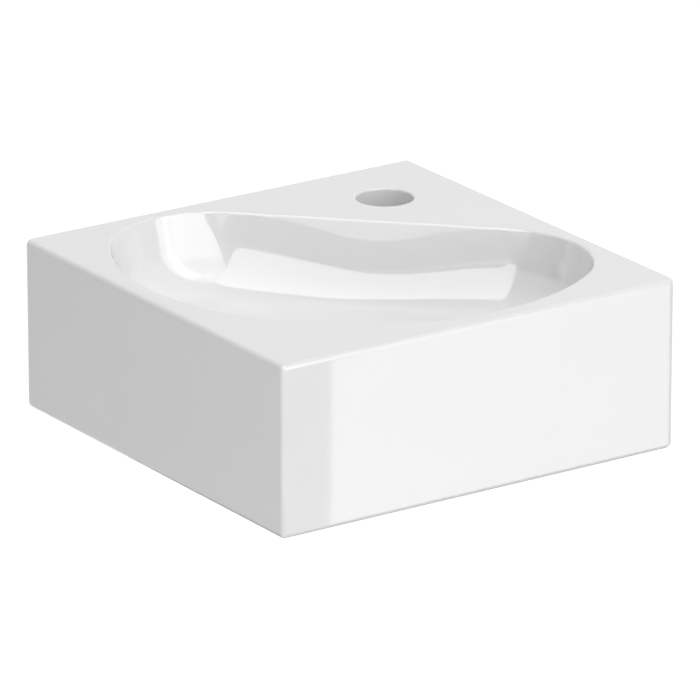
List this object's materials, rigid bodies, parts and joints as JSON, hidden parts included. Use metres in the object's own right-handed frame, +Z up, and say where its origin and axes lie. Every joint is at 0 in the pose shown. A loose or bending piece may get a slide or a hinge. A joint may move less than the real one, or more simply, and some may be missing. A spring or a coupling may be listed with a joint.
{
  "type": "corner hand basin",
  "caption": "Wall-hung square ceramic hand basin for a room corner, with a round-fronted bowl, an open tap hole on a corner ledge, a push-open waste and wall fixings.",
  "frame": {"origin": "the room corner at the height of the basin's rim, where the planes of both wall faces meet the plane of the deck", "axes": "+Z up; +Y out of the rear wall face, into the rear wall; -X out of the side wall face, into the side wall"},
  "size_m": [0.343, 0.343, 0.125],
  "materials": {
    "glazed_ceramic": "white glaze, unglazed on the wall faces and the lower rim",
    "chrome_plate": "polished chrome plate on brass",
    "black_rubber": "matt black rubber",
    "white_plastic": "natural white plastic",
    "bare_brass": "turned brass",
    "acetal": "pale moulded acetal",
    "spring_steel": "drawn stainless wire",
    "zinc_steel": "zinc-plated steel",
    "grey_nylon": "grey moulded nylon"
  },
  "bodies": {
    "root": {"basin_body": "glazed_ceramic", "waste_body": "chrome_plate", "flange_seal": "black_rubber", "lower_gasket": "black_rubber", "slip_washer": "white_plastic", "back_nut": "bare_brass", "latch_barrel": "acetal", "barrel_end_plug": "acetal", "latch_spring": "spring_steel", "hanger_bolts": "zinc_steel", "wall_plugs": "grey_nylon", "collar_bushes": "white_plastic", "fixing_washers": "zinc_steel", "fixing_nuts": "zinc_steel"},
    "plug": {"plug_cap": "chrome_plate", "plug_seal": "black_rubber", "plug_stem": "bare_brass", "stem_locknut": "bare_brass"},
    "latch_ring": {"index_ring": "acetal"}
  },
  "joints": [
    {"name": "plug_press", "type": "slide", "parent": "root", "child": "plug", "axis": [0, 0, -1], "range_m": [0, 0.008], "stiffness_N_per_m": 900, "springref_m": -0.008, "deforming": ["latch_spring"]},
    {"name": "latch_index", "type": "hinge", "parent": "plug", "child": "latch_ring", "pos_m": [0.15768, -0.15768, -0.07178], "axis": [0, 0, 1], "range_deg": [0, 45]}
  ],
  "couplings": [
    {"joint": "latch_index", "follows": "plug_press", "rad_per_m": 98.17}
  ]
}
